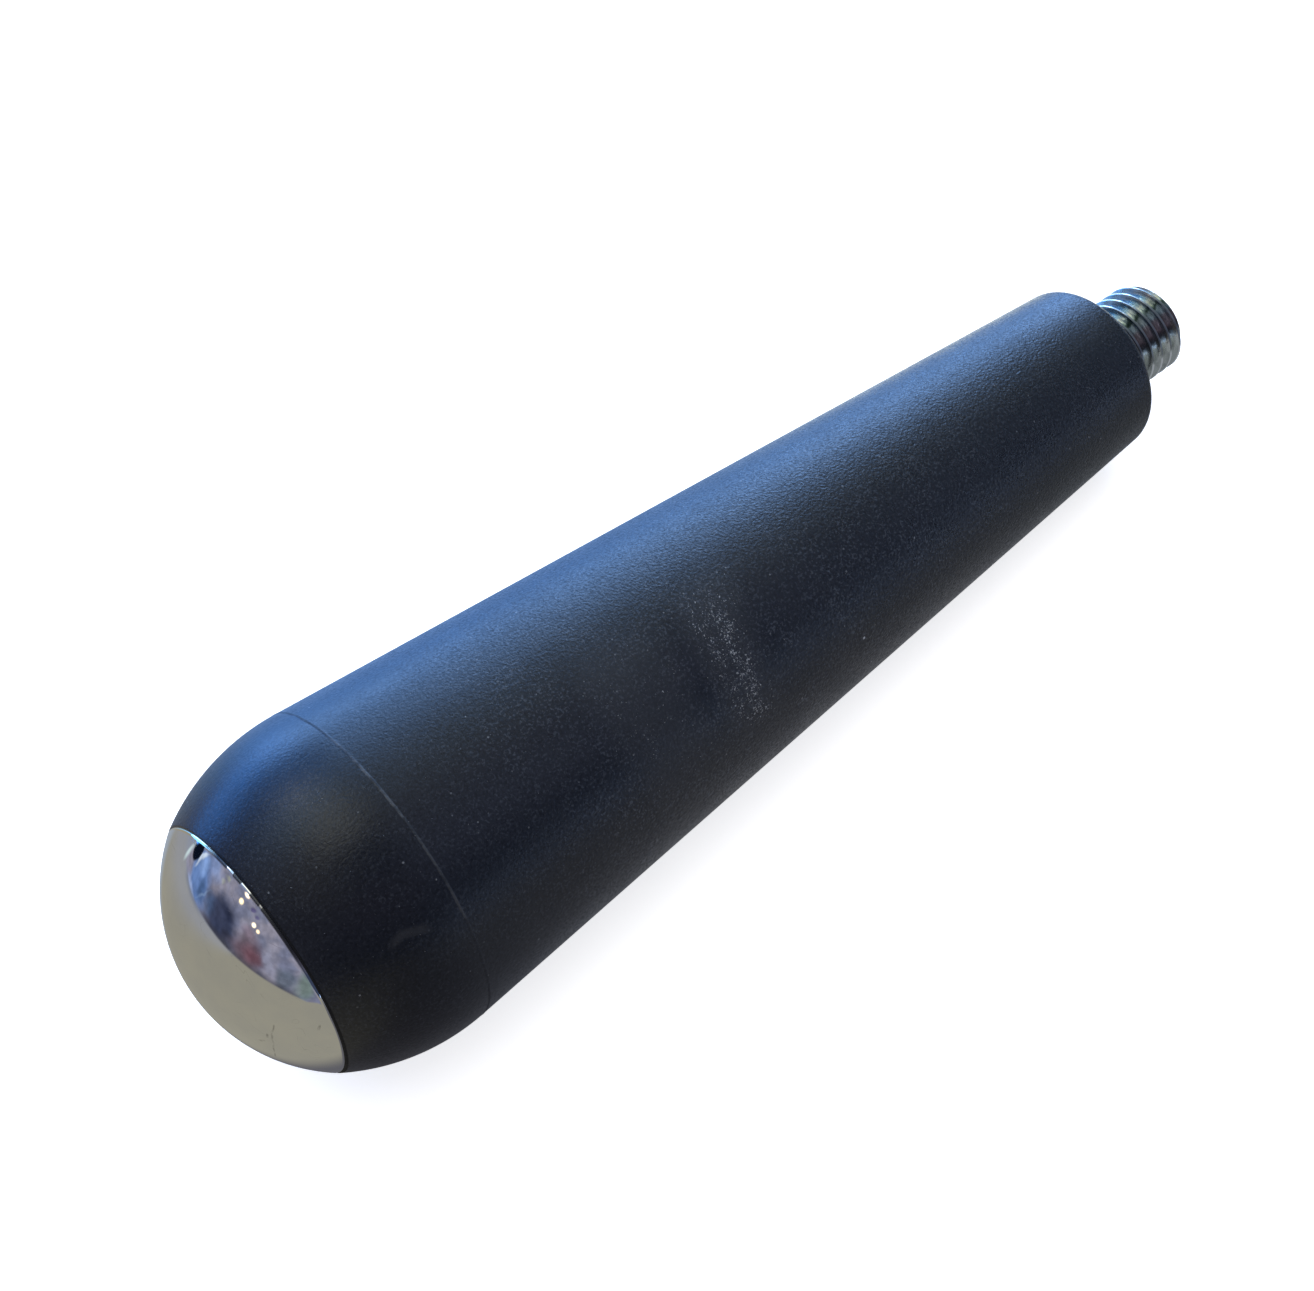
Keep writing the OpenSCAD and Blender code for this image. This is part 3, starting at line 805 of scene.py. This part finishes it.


# ---------------------------------------------------------------- floor
# A pale floor that touches the grip along its lowest line, so it slopes with
# the taper. The camera sees it near white; to every other ray it glows with
# painted light and shade by place: the beige of a table near by, painted shade
# beside the butt and the glare of the far side.
def floor_material():
    mat, n, out = material("stage_floor")
    g = n.add("ShaderNodeNewGeometry").outputs["Position"]
    x, y, z = n.xyz(g)
    # painted light by place: the camera's side, away from it, and a painted lighter patch off the front end
    cam_side = n.mix(n.ramp(x, -0.04, 0.0), (0.315, 0.325, 0.355), (0.265, 0.285, 0.315))
    cam_side = n.mix(n.ramp(x, -0.11, -0.07), (0.20, 0.215, 0.26), cam_side)
    front = n.prod(n.ramp(x, 0.02, 0.09), n.ramp(y, -0.20, -0.06, 1.0, 0.0))
    cam_side = n.mix(front, cam_side, (0.95, 1.3, 2.1))
    # far side: a painted bright strip close by, then painted cool glare
    strip = n.mix(n.ramp(x, -0.045, 0.005), (0.20, 0.33, 0.52), (2.1, 2.2, 1.9))
    behind_it = n.mix(n.ramp(x, -0.045, 0.0), (0.42, 0.78, 1.58), (0.60, 0.98, 1.70))
    far_side = n.mix(n.ramp(y, 0.02, 0.058), strip, behind_it)
    far_off = n.mix(n.ramp(x, -0.045, 0.0), (0.36, 0.97, 2.5), (0.27, 0.84, 2.3))
    far_side = n.mix(n.ramp(y, 0.07, 0.14), far_side, far_off)
    floor_glow = n.mix(n.ramp(y, 0.008, 0.026), cam_side, far_side)
    # painted shade beside the butt, then the open table past the cap
    shade = n.mix(n.ramp(y, 0.008, 0.024), (0.130, 0.130, 0.150), (0.36, 0.41, 0.48))
    shade = n.mix(n.ramp(y, 0.05, 0.09), shade, (0.30, 0.55, 0.95))
    floor_glow = n.mix(n.ramp(x, -0.125, -0.09), shade, floor_glow)
    beige = n.mix(n.ramp(y, 0.03, 0.09), (0.340, 0.328, 0.275), (0.345, 0.355, 0.385))
    beige = n.mix(n.ramp(y, 0.11, 0.20), beige, (0.32, 0.35, 0.43))
    edge = n.m("ADD", x, n.ramp(y, -0.04, -0.10, 0.0, 0.022))
    floor_glow = n.mix(n.ramp(edge, -0.136, -0.1285, 1.0, 0.0), floor_glow, beige)
    # past the table's end: the room, painted as seen from the cap
    eye = n.v("NORMALIZE", n.v("SUBTRACT", g, CAP_EYE))
    az, el = angles(n, eye)
    above = n.m("SUBTRACT", el, table_edge(n, az))
    wide = n.prod(n.ramp(az, 117.0, 121.0), n.ramp(az, 222.0, 234.0, 1.0, 0.0))
    # a painted cool band just before the table's end, and a painted gleam
    cool = n.prod(n.ramp(above, -3.5, 0.0), n.ramp(az, 122.0, 127.0), n.ramp(az, 138.0, 150.0, 1.0, 0.0))
    floor_glow = n.mix(n.m("MULTIPLY", cool, 0.8), floor_glow, (0.20, 0.23, 0.31))
    gleam = oval(n, az, el, 118.6, 2.0, -7.5, 8.0, 0.2, -14.0)
    floor_glow = n.mix(n.m("MULTIPLY", gleam, 0.95), floor_glow, lit((206, 228, 232)))
    off = n.m("MULTIPLY", n.ramp(above, -1.0, 1.0), wide)
    near = n.add("ShaderNodeEmission")
    n.put(near.inputs[0], floor_glow)
    past = n.add("ShaderNodeEmission")
    n.put(past.inputs[0], room(n, eye, az, el))
    em = n.add("ShaderNodeMixShader")
    n.put(em.inputs[0], off)
    n.t.links.new(near.outputs[0], em.inputs[1])
    n.t.links.new(past.outputs[0], em.inputs[2])
    white = n.add("ShaderNodeBsdfDiffuse")
    white.inputs[0].default_value = (0.86, 0.86, 0.86, 1)
    fill = n.add("ShaderNodeEmission")
    fill.inputs[0].default_value = (0.77, 0.77, 0.77, 1)
    both = n.add("ShaderNodeAddShader")
    n.t.links.new(white.outputs[0], both.inputs[0])
    n.t.links.new(fill.outputs[0], both.inputs[1])
    lp = n.add("ShaderNodeLightPath")
    mx = n.add("ShaderNodeMixShader")
    n.t.links.new(lp.outputs["Is Camera Ray"], mx.inputs[0])
    n.t.links.new(em.outputs[0], mx.inputs[1])
    n.t.links.new(both.outputs[0], mx.inputs[2])
    n.t.links.new(mx.outputs[0], out.inputs[0])
    return mat


me = bpy.data.meshes.new("floor")
S = 6.0
me.from_pydata([(-S, -S, 0), (S, -S, 0), (S, S, 0), (-S, S, 0)], [], [(0, 1, 2, 3)])
floor = bpy.data.objects.new("floor", me)
scene.collection.objects.link(floor)
floor.rotation_euler = (0.0, -TAPER, 0.0)
floor.location = (-TAPER_LEN * MM, 0.0, -(WIDE_R + 0.05) * MM)
floor.data.materials.append(floor_material())

# ---------------------------------------------------------------- light
# Soft light from over the part that falls on the floor alone, so that it
# comes out near white with a gentle shadow.
ld = bpy.data.lights.new("floor_light", "AREA")
ld.shape = "DISK"
ld.size = 1.6
ld.energy = 11.0
ld.color = (1.0, 0.97, 0.92)
lo = bpy.data.objects.new("floor_light", ld)
lo.location = (-0.10, 0.15, 1.1)
scene.collection.objects.link(lo)
lo.rotation_euler = (Vector((-0.06, 0, 0)) - lo.location).to_track_quat("-Z", "Y").to_euler()
only_floor = bpy.data.collections.new("lit_floor")
only_floor.objects.link(floor)
lo.light_linking.receiver_collection = only_floor
lo.visible_glossy = False

world = bpy.data.worlds.new("soft_room")
scene.world = world
world.use_nodes = True
w = Nodes(world.node_tree)
w_out = w.add("ShaderNodeOutputWorld")
d = w.v("NORMALIZE", w.add("ShaderNodeTexCoord").outputs["Generated"])
az, el = angles(w, d)


def window(azc, azh, azs, elc, elh, els):
    """A soft-edged window of directions: centre, half width and edge of each."""
    da = w.m("ABSOLUTE", w.m("SUBTRACT", w.m("FLOORED_MODULO", w.m("ADD", az, 540.0 - azc), 360.0), 180.0))
    fa = w.ramp(da, azh, azh + azs, 1.0, 0.0)
    fe = w.ramp(w.m("ABSOLUTE", w.m("SUBTRACT", el, elc)), elh, elh + els, 1.0, 0.0)
    return w.m("MULTIPLY", fa, fe)


# azimuth (centre, half, edge), elevation (centre, half, edge), light added
WINDOWS = (
    (60, 20, 12, 4, 14, 8, (1.42, 2.85, 5.85)),     # tall cool window, far side
    (100, 18, 9, 4, 14, 8, (0.42, 1.60, 4.90)),
    (42, 9, 10, 17, 7, 8, (0.65, 1.05, 1.80)),
    (45, 15, 10, 33, 5, 8, (1.50, 2.60, 4.70)),     # its upper lights
    (112, 14, 10, 42, 6, 8, (0.28, 0.38, 0.65)),
    (100, 34, 18, 60, 4, 12, (0.68, 1.02, 1.46)),   # cooler light beside the overhead panel
    (90, 14, 10, 44, 6, 8, (0.05, 0.45, 1.50)),
    (155, 14, 12, 46, 8, 8, (0.30, 0.36, 0.50)),
    (20, 22, 12, 50, 8, 8, (0.60, 0.72, 0.78)),     # high front
    (200, 25, 15, 60, 12, 12, (0.28, 0.26, 0.23)),  # behind
    (352, 18, 10, 20, 12, 10, (0.10, 0.17, 0.23)),  # fills
    (322, 9, 10, 47, 8, 10, (0.15, 0.18, 0.24)),
    (335, 22, 14, 60, 8, 10, (0.25, 0.23, 0.25)),
    (313, 6, 7, 35, 8, 8, (0.46, 0.50, 0.72)),
    (262, 26, 12, 38, 10, 10, (0.115, 0.092, 0.110)),
)
col = (0.045, 0.062, 0.115)
for *shape, c in WINDOWS:
    col = w.mix(window(*shape), col, c, "ADD")
col = w.mix(cone(w, d, *OVERHEAD[:4]), col, OVERHEAD[4], "ADD")
col = w.mix(cone(w, d, *GLINT[:4]), col, GLINT[4])
inside = w.prod(w.ramp(az, 117.0, 121.0), w.ramp(az, 214.0, 224.0, 1.0, 0.0), w.ramp(el, 27.0, 34.0, 1.0, 0.0))
within = room(w, d, az, el)
for *place, c in LAMPS:
    within = w.mix(cone(w, d, *place), within, c)

around = w.add("ShaderNodeBackground")
w.put(around.inputs[0], col)
back = w.add("ShaderNodeBackground")
w.put(back.inputs[0], within)
bg = w.add("ShaderNodeMixShader")
w.put(bg.inputs[0], inside)
w.t.links.new(around.outputs[0], bg.inputs[1])
w.t.links.new(back.outputs[0], bg.inputs[2])
plain = w.add("ShaderNodeBackground")
plain.inputs[0].default_value = (1.0, 1.0, 1.0, 1.0)
lp = w.add("ShaderNodeLightPath")
mx = w.add("ShaderNodeMixShader")
w.t.links.new(lp.outputs["Is Camera Ray"], mx.inputs[0])
w.t.links.new(bg.outputs[0], mx.inputs[1])
w.t.links.new(plain.outputs[0], mx.inputs[2])
w.t.links.new(mx.outputs[0], w_out.inputs[0])

# ---------------------------------------------------------------- camera
cd = bpy.data.cameras.new("camera")
cd.sensor_width = 36.0
cd.lens = 2032.3 / 1314 * 36.0
cd.clip_start = 0.01
cd.clip_end = 50.0
cam = bpy.data.objects.new("camera", cd)
scene.collection.objects.link(cam)
right = Vector((0.7432, -0.6691, 0.0)).normalized()
back = Vector((-0.4252, -0.4723, 0.7721)).normalized()
up = back.cross(right).normalized()
right = up.cross(back).normalized()
cam.matrix_world = Matrix(((right.x, up.x, back.x, -0.16752),
                           (right.y, up.y, back.y, -0.10516),
                           (right.z, up.z, back.z, 0.17597),
                           (0, 0, 0, 1)))
scene.camera = cam
